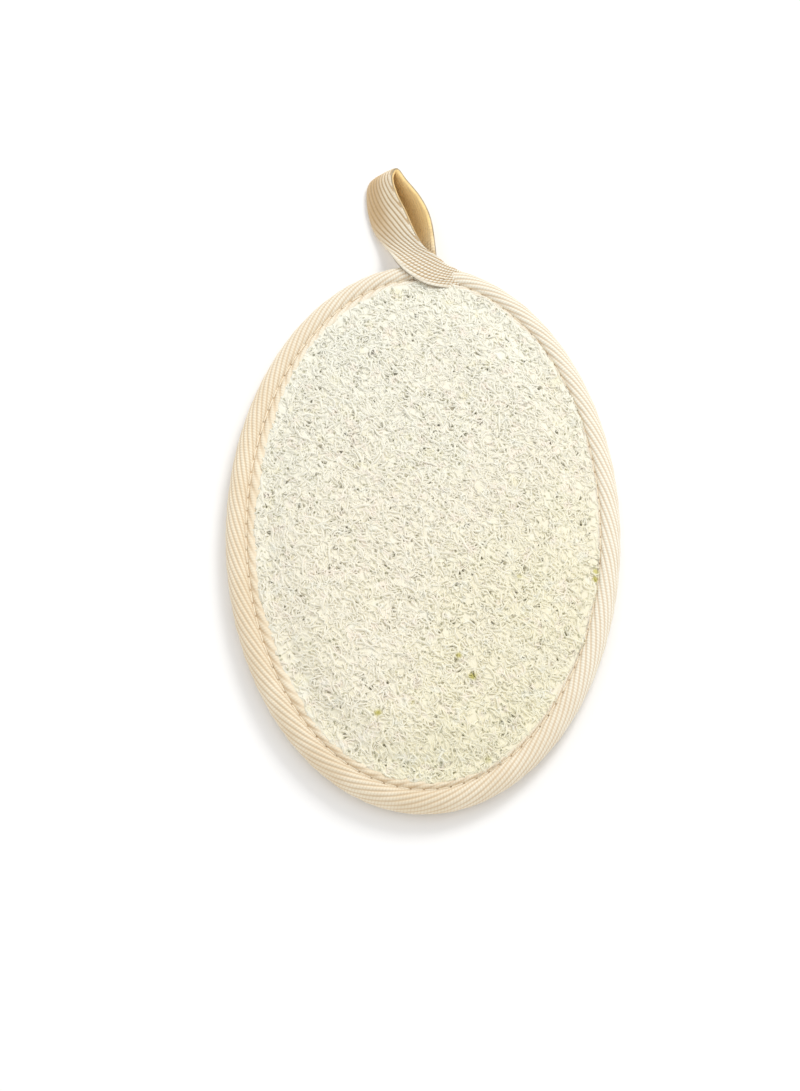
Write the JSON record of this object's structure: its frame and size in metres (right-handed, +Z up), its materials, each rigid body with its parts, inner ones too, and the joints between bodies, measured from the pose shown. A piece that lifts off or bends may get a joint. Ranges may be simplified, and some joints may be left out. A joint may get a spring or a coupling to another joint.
{
  "type": "loofah scrubbing pad",
  "caption": "Oval natural loofah scrubbing pad, pressed flat, with its rim bound and sewn in cotton twill tape and a small hanging loop at one end.",
  "frame": {"origin": "middle of the oval, on the flat spot of its underside", "axes": "+Y along the oval towards the hanging loop, +X across it, +Z up out of the front face"},
  "size_m": [0.09, 0.1665, 0.0088],
  "materials": {
    "loofah": "matte dried plant fibre",
    "cotton_twill": "matte undyed cotton twill",
    "cotton_thread": "matte undyed cotton thread"
  },
  "bodies": {
    "root": {"loofah_pad": "loofah", "binding_tape": "cotton_twill", "hanging_loop": "cotton_twill", "needle_thread": "cotton_thread", "bobbin_thread": "cotton_thread"}
  },
  "joints": []
}
